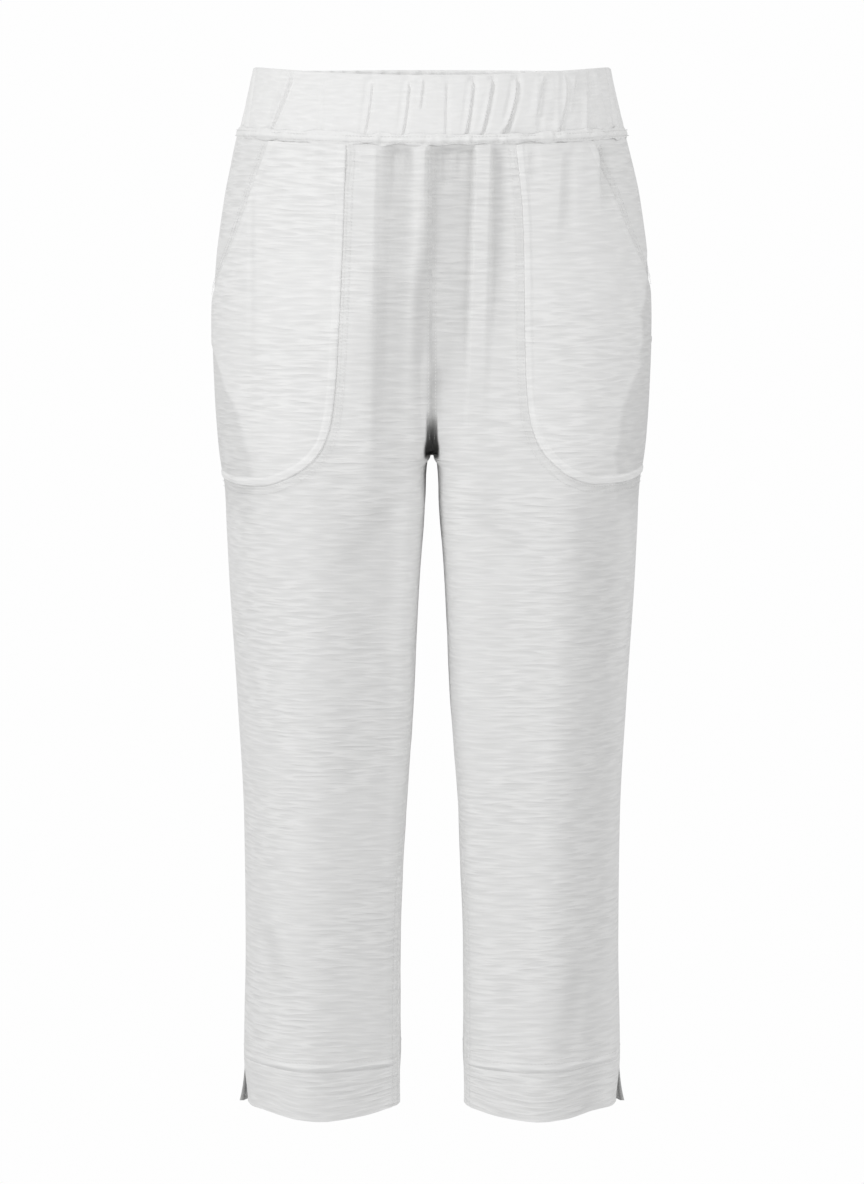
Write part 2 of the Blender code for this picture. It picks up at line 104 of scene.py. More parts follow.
# Folds that fall from the waist seam, and drag folds. Each has a flat core and its
# own fall-off on either side; a height below zero is a trough
FOLD_START = 0.009
FOLD_FADE = 0.45
DRAG_START = 0.3
LONGEST_START = 0.11
SEAM_CALM = 0.01
BACK_FOLD_GAIN = 1.35
GATHER_REACH = 0.055
FRONT_GATHER = 0.0006
BACK_GATHER = 0.0013
# Painted shade and painted light in the cloth's colour: folds this deep are greyed in full by the
# factor below, and below zero the colour is whitened, on double cloth and as painted light
PAINTED_SHADE_DEPTH = 0.0056
PAINTED_SHADE_TONE = 0.86
DOUBLE_CLOTH_AND_LIGHT_TONE = 1.045
# Painted highlight: the turned pocket edges are whitened in full below this height, and less above
# it
DOUBLE_AND_HIGHLIGHT_Z = -0.23
Fold = namedtuple("Fold", "x_top x_end z_top z_end core left right height")
FRONT_FOLDS = in_metres(Fold, (
    (-54, -61, -30, -360, 7, 9, 4, 2),
    (-28.5, -39, -30, -430, 3.5, 14.5, 16.5, -6),
    (-8, -9, -30, -190, 1.8, 10, 3, 2.2),
    (21, 11, -30, -290, 13, 15, 3, -7.2),
    (-3.5, -2, -90, -350, 3.5, 11, 15.5, -5.2),
    (42.5, 34.5, -30, -320, 5, 3, 5, 3),
    (54.5, 55, -30, -230, 2.2, 4, 11, -3.8),
    (113.2, 110.5, -36, -130, 0.4, 5, 7, -2),
    (143, 147, -34, -100, 0.4, 4, 8, -3.6),
    (-150.5, -151.8, -50, -260, 0, 3, 4, -1.3),
    (-65.6, -66, -32, -72, 1, 4, 5, -2.6),
    (-31, -30, -32, -80, 1, 3, 4, -2),
    (-19.7, -20, -32, -66, 0.4, 3, 4, -2),
    (11.5, 11, -32, -75, 0.4, 3, 4, -2.2),
    (24, 24.5, -32, -62, 0.4, 3, 4, -1.4),
    (-93, -90, -34, -80, 0.4, 6, 6, -1.2),
    (84, 85, -34, -75, 0.4, 5, 6, -1.2),
    (-153, -118, -695, -800, 0.6, 8, 14, -1.9),
    (134, 114, -720, -840, 0.6, 13, 8, -1.7),
    (-47, -67, -280, -1530, 9, 48, 20, -4),
    (150, 111, -270, -1530, 7, 33, 16, -3.7),
    (-30, -90, -330, -420, 1, 14, 16, -1.4),
    (33, 90, -325, -410, 1, 16, 14, -1.4),
))
BACK_FOLDS = in_metres(Fold, (
    (-122, -130, -30, -150, 1, 10, 6, -3),
    (-88, -93, -30, -210, 2, 5, 12, -4),
    (-72, -74, -30, -190, 4, 6, 5, 1.4),
    (-56, -54, -30, -130, 1, 9, 6, -3.2),
    (-26, -33, -30, -180, 1.6, 6, 11, -4),
    (10, 6, -30, -120, 1, 8, 6, -3),
    (37, 42, -30, -200, 1.8, 11, 5, -4.2),
    (54, 57, -30, -190, 4, 6, 5, 1.4),
    (71, 72, -30, -140, 1, 7, 9, -3.2),
    (104, 112, -30, -190, 1.6, 6, 12, -3.8),
    (-40, -125, -285, -375, 2, 14, 14, -3.4),
    (45, 130, -290, -385, 2, 14, 14, -3.2),
    (-130, -108, -760, -880, 1, 10, 15, -2.2),
    (120, 136, -740, -870, 1, 15, 11, -2.4),
))

# Broad puckers of the elastic casing, by distance round the waist
Pucker = namedtuple("Pucker", "round_top round_seam half_width depth")
FRONT_PUCKERS = in_metres(Pucker, (
    (-128, -150, 6.5, 2.6),
    (-94, -95, 5, 1.2),
    (-51, -58, 6.5, 2.4),
    (-20, -26, 6, 2.2),
    (12, 11, 5.5, 1.4),
    (34, 27, 6, 3.2),
    (51, 40, 5.5, 3),
    (72, 61, 6.5, 3.4),
    (94, 92, 5, 1.2),
    (115, 112, 6, 2.2),
    (146, 147, 6, 2.2),
))
BACK_PUCKERS = 15
BACK_PUCKER_FROM = 0.178
BACK_PUCKER_PITCH = 0.0172
BACK_UPRIGHT = 0.021  # keeps them upright behind, where the casing's top is the shorter way round
LEFT_SHIFT = 0.004
BROAD_SHARE = 0.75

# Sharp creases in those puckers: sideways places and shares of the casing's height,
# top and bottom, with how far the middle bows
Crease = namedtuple("Crease", "x_top rise_top x_seam rise_seam bow half_width depth")
FRONT_CREASES = [Crease(*row) for row in (
    (-0.1164, 0.97, -0.136, 0.06, 0.002, 0.0012, 0.002),
    (-0.0894, 0.97, -0.09, 0.5, 0, 0.0014, 0.0005),
    (-0.0498, 0.92, -0.0568, 0.02, 0.001, 0.0016, 0.0015),
    (-0.0195, 0.92, -0.0256, 0, 0.0012, 0.0017, 0.0017),
    (-0.0072, 0.94, -0.01, 0.45, 0, 0.0014, 0.0009),
    (0.0115, 0.92, 0.0105, 0, 0, 0.0016, 0.0008),
    (0.0338, 0.94, 0.027, 0, 0.0012, 0.0018, 0.0022),
    (0.0502, 0.95, 0.0398, 0, 0.0014, 0.0018, 0.0024),
    (0.0705, 0.95, 0.06, 0.08, 0.003, 0.0019, 0.0026),
    (0.094, 0.96, 0.087, 0.3, 0, 0.0028, 0.0014),
    (0.111, 0.97, 0.105, 0.04, 0.004, 0.003, 0.0019),
    (0.121, 0.92, 0.117, 0.35, 0, 0.0022, 0.0008),
    (0.13, 0.66, 0.1302, 0.04, 0, 0.0018, 0.0015),
    (0.139, 0.95, 0.148, 0.1, 0, 0.0028, 0.0017),
)]

# Where folds pinch the band over the waist seam
Pinch = namedtuple("Pinch", "x half_width depth")
FRONT_PINCHES = in_metres(Pinch, (
    (-149, 6.8, 1),
    (-130, 4.7, 0.8),
    (-69, 6.1, 1.6),
    (-40, 5.4, 1.3),
    (-28.5, 4.1, 0.8),
    (-5, 4.7, 1.5),
    (12, 4.1, 0.8),
    (34.5, 4.7, 1),
    (55.5, 6.1, 2),
    (79, 6.8, 0.8),
    (102, 5.4, 0.8),
    (131, 5.4, 1.2),
    (147, 5.4, 1.4),
))

# Where the casing tucks in deepest over the seam, in front, as x
NOTCH_FROM = 0.058
NOTCH_TO = 0.108
NOTCH_DEPTH = 0.0024

# The band over the waist seam, the hems and the side slits
WELT_HEIGHT = 0.0094
WELT_STAND = 0.0005
WELT_SWELL = 0.003
WELT_DENT = 0.0004
WELT_STITCH = 0.5
WELT_GATHER = 0.001
WELT_WAVER = 0.26
WELT_SIDE_CALM = 0.6
BAND_TUCK = 0.0005
BAND_TUCK_RISE = 0.16
HEM_RIDGE = 0.0018
HEM_TURN = 0.0024
HEM_RIDGE_HALF = 0.0044
SLIT_FLARE = 0.0058
SLIT_TUCK = 0.0014
SLIT_REACH = 0.034
SLIT_PART = 0.0008

# How far the front of a hem hangs higher towards the leg's inner line and the slit,
# as (x, lift), from the stitching down
HEM_LIFT = in_metres(Station, (
    (26, 12.4), (38, 9.6), (48, 6.8), (58, 4.3), (69, 2.1), (79, 0.4), (90, -0.9),
    (100, -0.9), (110, 0), (120, 0.9), (130, 2.8), (141, 4.8), (151, 5.6), (161, 4.2)))
HEM_LIFT_START = 0.03
# Painted shade and painted light in the cloth's colour: shade inside the leg at the slit, light on
# the inner face of the casing's rim, shade along the pocket mouths, and light on the inner thighs
# beside the inseam, down to the height below
INSIDE_SHADE = 3
RIM_PAINTED_LIGHT = -1
MOUTH_SHADE = 0.15
THIGH_LIGHT = 1.6
THIGH_END_Z = -0.52

# Patch pockets: the inner and lower edges as (x, z), and the slanted mouth as
# (distance before the side seam, z)
PocketLines = namedtuple("PocketLines", "inner bottom mouth")
POCKETS = {side: PocketLines(*(in_metres(Station, line) for line in lines)) for side, lines in (
    ("left", (
        ((71.2, -32.2), (74, -110), (79.1, -218), (83, -260), (89, -285), (100, -302)),
        ((117.8, -315.2), (144.4, -324.4), (164, -325), (181.5, -322.5)),
        ((66, -32.2), (59, -72), (47, -115), (25, -150), (0, -176)))),
    ("right", (
        ((69.6, -32.2), (75.5, -97.1), (78.4, -230), (81.8, -265.7), (88.6, -287.1),
         (100.6, -303.6)),
        ((117.2, -316.1), (139, -322.5), (160, -322.8), (181.5, -318.5)),
        ((68, -32.2), (60, -72), (47, -110), (25, -142), (0, -166)))),
)}

# The slot between the thighs, over the crotch, where the centre front seam dives in
SLOT_TOP_Z = -0.2585
SLOT_DEEP_Z = -0.291
SLOT_HALF = 0.0032
SLOT_WALL = 0.0018
SLOT_DEPTH = 0.03
# Painted shade: black in the slot, and a grey stripe along the centre front seam above it
SLOT_SHADE = 4
SEAM_SHADE = 1.3
SEAM_SHADE_TOP_Z = -0.15
SEAM_SHADE_HALF = 0.006

# Where the cloth turns from the front to the sides at the hips: how much painted shade greys it
# and how deep it lies there, how soft the turn is, and its line as (z, distance from side seam)
SideTurn = namedtuple("SideTurn", "side tone depth edge line")
SIDE_TURNS = (
    SideTurn("left", 0.7, 0.001, 0.012, in_metres(Station, (
        (-370, -70), (-320, -79), (-286, -77), (-274, -68), (-257, -62),
        (-247, -49), (-229, -36), (-214, -12), (-200, 20)))),
    SideTurn("left", 0.12, 0.0003, 0.006, in_metres(Station, (
        (-250, -86), (-185, -84), (-134, -73), (-95, -65),
        (-74, -59), (-49, -62), (-30, -64)))),
    SideTurn("right", 0.9, 0.001, 0.012, in_metres(Station, (
        (-370, -68), (-312, -72), (-294, -78), (-278, -74), (-257, -69), (-240, -60),
        (-222, -43), (-194, -41), (-169, -33), (-140, -10), (-120, 20)))),
)
SIDE_TURN_WAVER = 0.0045

# Fine form: seams, turned edges and stitch lines
SEAM_GROOVE = 0.0008
SEAM_GROOVE_WIDTH = 0.0022
CENTRE_LIE = 6
EDGE_ROUND = 0.0016
EDGE_DROP = 0.001
EDGE_SWELL = 0.0007
POCKET_LIFT = 0.0009
POCKET_BULGE = 0.0009
EDGE_STITCH = 0.0064
EDGE_STITCH_OUTER = 0.0018
STITCH_DENT = 0.0006
STITCH_DENT_HALF = 0.0014
STITCH_PITCH = 0.003
STITCH_LENGTH = 0.0022
STITCH_WIDTH = 0.00055
STITCH_PROUD = 0.0001
STITCH_RINGS = ((-0.5, 0.3), (-0.28, 0.95), (0.28, 0.95), (0.5, 0.3))  # (along, width)
INSEAM_STITCHES = (0.003, 0.0095)
CENTRE_STITCH = 0.003
WOBBLE = 0.00055

# Mesh density
BODY_STEP = 0.001
BODY_SAMPLE = 0.0008
BODY_REACH = 0.42
ANGLE_STEPS = 400
HIP_ROWS = 137
LEG_ROWS = (10, 310, 20, 33)
INSEAM_ROWS_Z = -0.205
CROTCH_ROWS = 110
FOLD_ZONE_X = 0.07
INNER_STRIDE = 4
SEAM_STRIP = 0.006
CENTRE_STRIP = 0.007
FRONT_COLUMNS = (12, 52, 36, 7)
BACK_COLUMNS = (7, 46, 7)
BAND_HALF_COLUMNS = 540
BAND_RISE_STEPS = 46
POCKET_ROWS = 250
POCKET_COLUMNS = 110
MOUTH_SHARE = 0.62

# How bright the floor and the world look behind the garment
BACKGROUND = 0.99
WHITE = (1, 1, 1, 1)
FLOOR_COLOUR = (0.8, 0.8, 0.8, 1)
FLOOR_HALF = 14
FLOOR_Z = -1.15
WORLD_LIGHT = 0.64
Lamp = namedtuple("Lamp", "name place target size watts")
LAMPS = (Lamp("key", (-1.84, -1.5, 0.9), (0, 0, -0.3), 1, 16.2),
         Lamp("fill", (1.75, -2.4, 0.55), (0, 0, -0.36), 1.6, 12.6))

# How far the thick yarns stand out, in metres
SLUB_RELIEF = 0.00017

SIDES = {"left": -1, "right": 1}


def share_of(value, start, end):
    """How far value has gone from start, where it is 0, to end, where it is 1."""
    return (value - start) / (end - start)


def smooth(value):
    """0 below 0, 1 above 1, and a soft S between."""
    t = np.clip(value, 0, 1)
    return t * t * (3 - 2 * t)


def fall(value):
    """1 below 0, 0 above 1, and a soft S between."""
    return 1 - smooth(value)


def hill(value):
    """1 at 0, falling softly to 0 at -1 and 1."""
    t = np.clip(np.abs(value), 0, 1)
    return 0.5 + 0.5 * np.cos(math.pi * t)


def monotone_curve(position, stations, values):
    """Cubic through the stations that never overshoots their values."""
    position = np.asarray(position, dtype=float)
    step = np.diff(stations)
    slope = np.diff(values) / step
    tangent = np.zeros(len(values))
    tangent[[0, -1]] = slope[[0, -1]]
    for k in range(1, len(values) - 1):
        if slope[k - 1] * slope[k] > 0:
            weight_a = 2 * step[k] + step[k - 1]
            weight_b = step[k] + 2 * step[k - 1]
            tangent[k] = (weight_a + weight_b) / (weight_a / slope[k - 1] + weight_b / slope[k])
    k = np.clip(np.searchsorted(stations, position) - 1, 0, len(step) - 1)
    t = np.clip((position - stations[k]) / step[k], 0, 1)
    start = (2 * t ** 3 - 3 * t ** 2 + 1) * values[k]
    start += (t ** 3 - 2 * t ** 2 + t) * step[k] * tangent[k]
    end = (3 * t ** 2 - 2 * t ** 3) * values[k + 1]
    end += (t ** 3 - t ** 2) * step[k] * tangent[k + 1]
    return start + end


def run_along(points):
    """Distance along a line of points from its start."""
    steps = np.linalg.norm(np.diff(points, axis=0), axis=1)
    return np.hstack(([0], np.cumsum(steps)))


def section_sizes(z, name):
    stations, sizes = np.array([(row.z, getattr(row, name)) for row in SECTIONS[::-1]]).T
    return monotone_curve(z, stations, sizes)


def oval_face(z, outer, inner, depth, parting):
    """One face of a leg's oval, from the centre plane or inseam to the side."""
    fallen = min(max(share_of(z, parting.start_z, CROTCH_Z), 0), 1)
    turn = max(fallen - PARTING_EASE, 0) / (1 - PARTING_EASE)
    eased = min(fallen, PARTING_EASE) + (1 - PARTING_EASE) * (turn + turn ** 2 - turn ** 3)
    parted = eased ** parting.softness
    half = (outer - inner) / (1 + parted)
    centre = outer - half
    start_angle = 0
    if inner <= 0:
        start_angle = math.acos(min(centre / half, 1) ** (parting.squareness / 2))
    angle = np.linspace(start_angle, math.pi, ANGLE_STEPS + 1)
    power = 2 / np.where(angle < math.pi / 2, parting.squareness, OUTER_SQUARENESS)
    x = centre - half * np.sign(np.cos(angle)) * np.abs(np.cos(angle)) ** power
    return x, depth * np.abs(np.sin(angle)) ** power


def blend(table, rows, columns, down, on):
    """A table's value between two rows and two columns."""
    upper, lower = (table[row, columns[0]] * (1 - on) + table[row, columns[1]] * on
                    for row in rows)
    return upper * (1 - down) + lower * down


def crotch_slot(x, z):
    """1 in the slot over the crotch, 0 on the cloth around it."""
    slot = smooth(share_of(z, SLOT_TOP_Z, SLOT_DEEP_Z))
    slot *= smooth(share_of(z, CROTCH_Z, SLOT_DEEP_Z) * 3)
    return slot * fall((np.abs(x) - SLOT_HALF) / SLOT_WALL)


class Body:
    """The outer face of one half of the body, in fine even rows, on the +X side.

    Along a row the distance is measured from the side seam: below zero it runs over
    the front to the centre or the leg's inner line, above zero over the back."""

    def __init__(self):
        self.top = TOP_Z + 4 * BODY_STEP
        self.heights = np.arange(self.top, HEM_Z - 4 * BODY_STEP, -BODY_STEP)
        outers, inners, self.front, self.back = (section_sizes(self.heights, name)
                                                 for name in Section._fields[1:])
        self.around = np.arange(-BODY_REACH, BODY_REACH, BODY_SAMPLE)
        shape = (len(self.heights), len(self.around))
        self.x, self.y, self.normal_x, self.normal_y = (np.zeros(shape) for _ in range(4))
        self.front_end = np.zeros(shape[0])
        self.back_end = np.zeros(shape[0])
        for k, z in enumerate(self.heights):
            outer, inner = float(outers[k]), float(inners[k])
            front_x, front_reach = oval_face(z, outer, inner, self.front[k] + MID_Y, FRONT_PARTING)
            back_x, back_reach = oval_face(z, outer, inner, self.back[k] - MID_Y, BACK_PARTING)
            x = np.concatenate((front_x, back_x[-2::-1]))
            y = np.concatenate((MID_Y - front_reach, (MID_Y + back_reach)[-2::-1]))
            run = run_along(np.stack((x, y), axis=-1))
            side = run[ANGLE_STEPS] - SIDE_FORWARD
            self.front_end[k] = -side
            self.back_end[k] = run[-1] - side
            places = [self.around + side + shift for shift in (0, BODY_SAMPLE, -BODY_SAMPLE)]
            if z < CROTCH_Z:
                places = [np.mod(place, run[-1]) for place in places]
            wanted, ahead, behind = places
            self.x[k] = np.interp(wanted, run, x)
            self.y[k] = np.interp(wanted, run, y)
            normal_x = np.interp(ahead, run, y) - np.interp(behind, run, y)
            normal_y = np.interp(behind, run, x) - np.interp(ahead, run, x)
            size = np.maximum(np.hypot(normal_x, normal_y), 1e-9)
            self.normal_x[k] = normal_x / size
            self.normal_y[k] = normal_y / size

    def row_value(self, table, z):
        return np.interp(-np.asarray(z), -self.heights, table)

    def ends(self, z):
        """Where a row's front panel and back panel meet the seam between the legs."""
        inseam = INSEAM_FORWARD * smooth(share_of(z, CROTCH_Z, INSEAM_TURN_Z))
        front = self.row_value(self.front_end, z) + inseam
        return front, self.row_value(self.back_end, z) + inseam

    def read(self, table, around, z):
        """A table's value between its rows and samples."""
        row = np.clip((self.top - z) / BODY_STEP, 0, len(self.heights) - 1.001)
        column = np.clip((around + BODY_REACH) / BODY_SAMPLE, 0, len(self.around) - 1.001)
        k, c = row.astype(int), column.astype(int)
        return blend(table, (k, k + 1), (c, c + 1), row - k, column - c)

    def around_of_x(self, x, z):
        """Distance along the front to where it reaches x, one z at a time."""
        k = min(max(int(round((self.top - z) / BODY_STEP)), 0), len(self.heights) - 1)
        front = (self.around <= 0) & (self.around >= self.front_end[k])
        return float(np.interp(x, self.x[k][front], self.around[front]))

    def place(self, around, z, offset, sign):
        """World points, moved out by offset."""
        x, y, normal_x, normal_y = (self.read(table, around, z) for table in (
            self.x, self.y, self.normal_x, self.normal_y))
        beside = np.minimum(around - self.row_value(self.front_end, z),
                            self.row_value(self.back_end, z) - around)
        joined = smooth((z - CROTCH_Z) / 0.004 + 1)
        normal_x *= 1 - joined * fall(beside / 0.012)
        size = np.maximum(np.hypot(normal_x, normal_y), 1e-9)
        reach_x = np.maximum(x + normal_x / size * offset, 0)
        reach_x = np.where((z > CROTCH_Z + 1e-6) & (beside < 1e-5), 0, reach_x)
        reach_y = y + normal_y / size * offset
        reach_y += SLOT_DEPTH * crotch_slot(x, z) * (y < MID_Y)
        facing = np.maximum((MID_Y - y) / (self.row_value(self.front, z) + MID_Y), 0)
        facing_back = np.maximum((y - MID_Y) / (self.row_value(self.back, z) - MID_Y), 0)
        tilt = BACK_RISE * facing_back ** 2 - FRONT_DIP * facing ** 2
        height = z + tilt * smooth(share_of(z, DIP_END_Z, SEAM_Z))
        drop = FRONT_RIM_DROP * facing ** 2 + BACK_RIM_DROP * smooth(facing_back)
        height -= drop * smooth(z / TOP_Z)
        lift = np.interp(np.abs(x), *np.transpose(HEM_LIFT)) * smooth((MID_Y + 0.04 - y) / 0.08)
        height += lift * smooth(share_of(z, HEM_STITCH_Z + HEM_LIFT_START, HEM_Z))
        return np.stack((sign * reach_x, reach_y, height), axis=-1)


body = Body()


def soft_noise(u, v, cell_u, cell_v, seed):
    """Smooth noise from -1 to 1 on a seeded lattice of cells."""
    rng = np.random.default_rng(seed)
    lattice = rng.uniform(-1, 1, (257, 257))
    column, row = np.asarray(u) / cell_u + 64, np.asarray(v) / cell_v + 64
    c, r = np.floor(column).astype(int), np.floor(row).astype(int)
    return blend(lattice, (r % 257, (r + 1) % 257), (c % 257, (c + 1) % 257),
                 smooth(row - r), smooth(column - c))


def fold_height(folds, x, z):
    """How far the folds of a table push the cloth out at x and z."""
    total = np.zeros_like(x)
    for fold in folds:
        along = share_of(z, fold.z_top, fold.z_end)
        inside = (along > 0) & (along < 1)
        centre = fold.x_top + (fold.x_end - fold.x_top) * along
        start = min(DRAG_START * (fold.z_top - fold.z_end), LONGEST_START)
        start = FOLD_START if fold.z_top > SEAM_Z - 0.02 else start
        strength = smooth((fold.z_top - z) / start)
        strength *= fall(share_of(along, FOLD_FADE, 1))
        away = x - centre
        width = np.where(away < 0, fold.left, fold.right)
        width *= 1 + 0.8 * np.clip(along, 0, 1)
        past = np.maximum(np.abs(away) - fold.core, 0) / width
        total += np.where(inside, fold.height * strength * hill(past), 0)
    return total


def back_puckers():
    """Uneven puckers that carry on round the sides and back, on both halves."""
    rows = []
    for index in range(BACK_PUCKERS):
        wobble = math.sin(2.4 * index + 0.7)
        lean = 0.0035 * math.sin(1.7 * index)
        middle = BACK_PUCKER_FROM + BACK_PUCKER_PITCH * index + 0.003 * wobble
        depth = 0.0022 + 0.0008 * math.sin(4.1 * index)
        upright = BACK_UPRIGHT * middle * smooth((middle - BACK_PUCKER_FROM) / 0.14)
        rows.append(Pucker(middle + lean - upright, middle - lean + upright,
                           0.006 + 0.0008 * wobble, depth))
    return rows + [row._replace(round_top=-LEFT_SHIFT - row.round_top,
                                round_seam=-LEFT_SHIFT - row.round_seam) for row in rows]


def crease_lip(away):
    """Across a crease: a slow swell, a sharp drop past its lip and a slow way back."""
    drop = smooth((away + 0.3) / 0.9)
    swell = smooth((away + 3.2) / 2.9) * (1 - drop)
    return 1.2 * swell - 0.6 * drop * fall((away - 0.6) / 3)


def pucker_height(ring, rise):
    """The casing's puckers and creases; rise is 0 at the seam and 1 at the top."""
    total = np.zeros_like(ring.x)
    behind = back_puckers()
    for pucker in FRONT_PUCKERS + behind:
        centre = pucker.round_seam + (pucker.round_top - pucker.round_seam) * rise
        away = (ring.along - centre) / pucker.half_width
        if pucker in behind:
            total -= 0.5 * pucker.depth * hill(away)
            total -= 0.5 * pucker.depth * hill(away / 0.45)
        else:
            total -= BROAD_SHARE * pucker.depth * hill(away)
    for crease in FRONT_CREASES:
        share = share_of(rise, crease.rise_seam, crease.rise_top)
        centre = crease.x_seam + (crease.x_top - crease.x_seam) * share
        centre += crease.bow * 4 * share * (1 - share)
        ends = smooth(share / 0.15 + 0.2) * smooth((1 - share) / 0.15 + 0.1)
        lip = crease_lip((ring.x - centre) / crease.half_width)
        total += ring.in_front * (crease.depth * ends * lip)
    ends = smooth(rise / 0.2 + 0.15) * smooth((1 - rise) / 0.14 + 0.25)
    return total * ends


def seam_groove(distance):
    return -SEAM_GROOVE * fall(distance / SEAM_GROOVE_WIDTH)


def dent(distance):
    """The dent that a row of stitches pulls into the cloth."""
    return -STITCH_DENT * hill(distance / STITCH_DENT_HALF)


def side_turn(around, z, sign, name):
    """The painted shade or the depth of the cloth that has turned to the side; 0 in front."""
    total = np.zeros_like(around)
    for turn in SIDE_TURNS:
        if SIDES[turn.side] == sign:
            heights, places = np.transpose(turn.line)
            edge = monotone_curve(z, heights, places)
            edge += SIDE_TURN_WAVER * soft_noise(z, 0, 0.012, 1, 41)
            turned = smooth((around - edge) / turn.edge + 0.5)
            turned *= smooth((z - heights[0]) / 0.045)
            turned *= smooth((heights[-1] - z) / 0.01)
            total = np.maximum(total, getattr(turn, name) * turned)
    return total * fall(around / 0.03)


def panel_spot(around, z, sign, is_front):
    """x on a panel, and the distance on the cloth from the seam between the legs."""
    front_end, back_end = body.ends(z)
    x = sign * body.read(body.x, around, z)
    return x, around - front_end if is_front else back_end - around


def painted_light_share(around, z, sign, is_front):
    """Painted shade from 0 to 1 that greys the cloth deep in folds and where it turns to the
    sides, in front also in the slot and along the centre seam; painted light on the inner thighs
    goes below 0.
    """
    x, from_inner = panel_spot(around, z, sign, is_front)
    folds = fold_height(FRONT_FOLDS if is_front else BACK_FOLDS, x, z)
    calm = smooth(np.abs(around) / SEAM_CALM)
    shares = np.clip(-folds * calm / PAINTED_SHADE_DEPTH, 0, 1)
    shares = np.maximum(shares, side_turn(around, z, sign, "tone"))
    # Painted light on the inner thighs beside the inseam, against the shade between the legs
    thigh = smooth((CROTCH_Z - z) / 0.01) * smooth((z - THIGH_END_Z) / 0.1)
    shares -= THIGH_LIGHT * thigh * fall(from_inner / 0.012)
    if is_front:
        # Painted shade in the slot over the crotch and along the centre front seam above it
        above = smooth((SEAM_SHADE_TOP_Z - z) / 0.1) * smooth((z - CROTCH_Z) / 0.01)
        above *= fall(np.abs(x) / SEAM_SHADE_HALF)
        shares = shares + SLOT_SHADE * crotch_slot(x, z) + SEAM_SHADE * above
    return shares


def waist_gathers(x, z, behind):
    """Small gathers that run out of the waist seam; deeper behind, where none is flat."""
    fade = fall((SEAM_Z - 0.004 - z) / GATHER_REACH)
    depth = FRONT_GATHER + (BACK_GATHER - FRONT_GATHER) * behind
    fine = soft_noise(x, z, 0.006, 0.09, 31) + 0.7 * soft_noise(x, z, 0.0115, 0.12, 32)
    return depth * fade * fine


def cloth_wobble(around, z, sign):
    """The small soft unevenness of cloth that hangs."""
    wobble = soft_noise(sign * around, z, 0.038, 0.06, 5)
    return WOBBLE * (wobble + 0.5 * soft_noise(sign * around, z, 0.016, 0.026, 6))


def panel_height(around, z, sign, is_front):
    """Folds, seams, hem ridge and slit flaps of a panel, as a distance moved out."""
    x, from_inner = panel_spot(around, z, sign, is_front)
    from_side = np.abs(around)
    total = fold_height(FRONT_FOLDS if is_front else BACK_FOLDS, x, z)
    total *= 1 if is_front else BACK_FOLD_GAIN
    total += waist_gathers(x, z, 0 if is_front else 1)
    in_leg = smooth((INSEAM_ROWS_Z - z) / 0.03)
    calm = 1 - in_leg * fall(from_inner / SEAM_CALM)
    total *= calm * smooth(from_side / SEAM_CALM)
    total -= side_turn(around, z, sign, "depth")
    quiet = smooth(from_inner / 0.02) * smooth(from_side / 0.02)
    total += quiet * cloth_wobble(around, z, sign)
    slit_share = np.clip(share_of(z, SLIT_Z, HEM_Z), 0, 1)
    side_groove = seam_groove(from_side) * fall(slit_share * 4)
    gathers = 1 + 0.5 * soft_noise(z, 0, 0.009, 1, 7)
    lie = 1 if sign < 0 else CENTRE_LIE
    lie = 1 + (lie - 1) * fall((INSEAM_ROWS_Z - z) / 0.1)
    total = total + seam_groove(from_inner / lie) * gathers + side_groove * gathers
    if is_front:
        leg = smooth((CROTCH_Z - z) / 0.02)
        for stitch in INSEAM_STITCHES:
            total += leg * dent(from_inner - stitch)
    past_inner = np.abs(x) - section_sizes(z, "inner")
    to_outer = section_sizes(z, "outer") - np.abs(x)
    fold_share = smooth(past_inner / 0.008) * smooth(to_outer / 0.006)
    ridge = HEM_RIDGE * hill((z - HEM_STITCH_Z) / HEM_RIDGE_HALF)
    total += fold_share * (ridge + dent(z - HEM_STITCH_Z + 0.9 * HEM_RIDGE_HALF))
    turn = HEM_TURN * smooth(from_inner / 0.03)
    total -= turn * smooth(share_of(z, HEM_STITCH_Z, HEM_Z))
    flap = hill(around / SLIT_REACH) * slit_share ** 1.4
    return total + (-SLIT_TUCK if is_front else SLIT_FLARE) * flap


def wall_thickness(z):
    """Single cloth, or double where the hem is turned up."""
    return CLOTH + (HEM_CLOTH - CLOTH) * smooth((HEM_STITCH_Z - z) / HEM_RIDGE_HALF)


def lowest_near(height, reach, closed):
    """The lowest height within reach rows and columns, to keep the inner face inside."""
    for axis, mode in ((0, "edge"), (1, "wrap" if closed else "edge")):
        widths = [(reach, reach) if axis == k else (0, 0) for k in (0, 1)]
        padded = np.pad(height, widths, mode=mode)
        windows = np.lib.stride_tricks.sliding_window_view(padded, 2 * reach + 1, axis=axis)
        height = windows.min(axis=-1)
    return height


def coarse_places(count, stride, closed):
    places = list(range(0, count, stride))
    if not closed and places[-1] != count - 1:
        places.append(count - 1)
    return places


def set_uv(mesh, places, wrap=0):
    """Stores the cloth's own flat coordinates, in metres; wrap is a closed ring's length."""
    layer = mesh.uv_layers.new(name="cloth")
    corners = np.zeros(len(mesh.loops), dtype=np.int32)
    mesh.loops.foreach_get("vertex_index", corners)
    flat = places[corners]
    if wrap:
        starts = np.zeros(len(mesh.polygons), dtype=np.int32)
        mesh.polygons.foreach_get("loop_start", starts)
        counts = np.diff(np.append(starts, len(corners)))
        spread = np.maximum.reduceat(flat[:, 0], starts) - np.minimum.reduceat(flat[:, 0], starts)
        split = np.repeat(spread > wrap / 2, counts)
        flat[:, 0] += np.where(split & (flat[:, 0] < wrap / 2), wrap, 0)
    layer.uv.foreach_set("vector", flat.astype(np.float32).ravel())


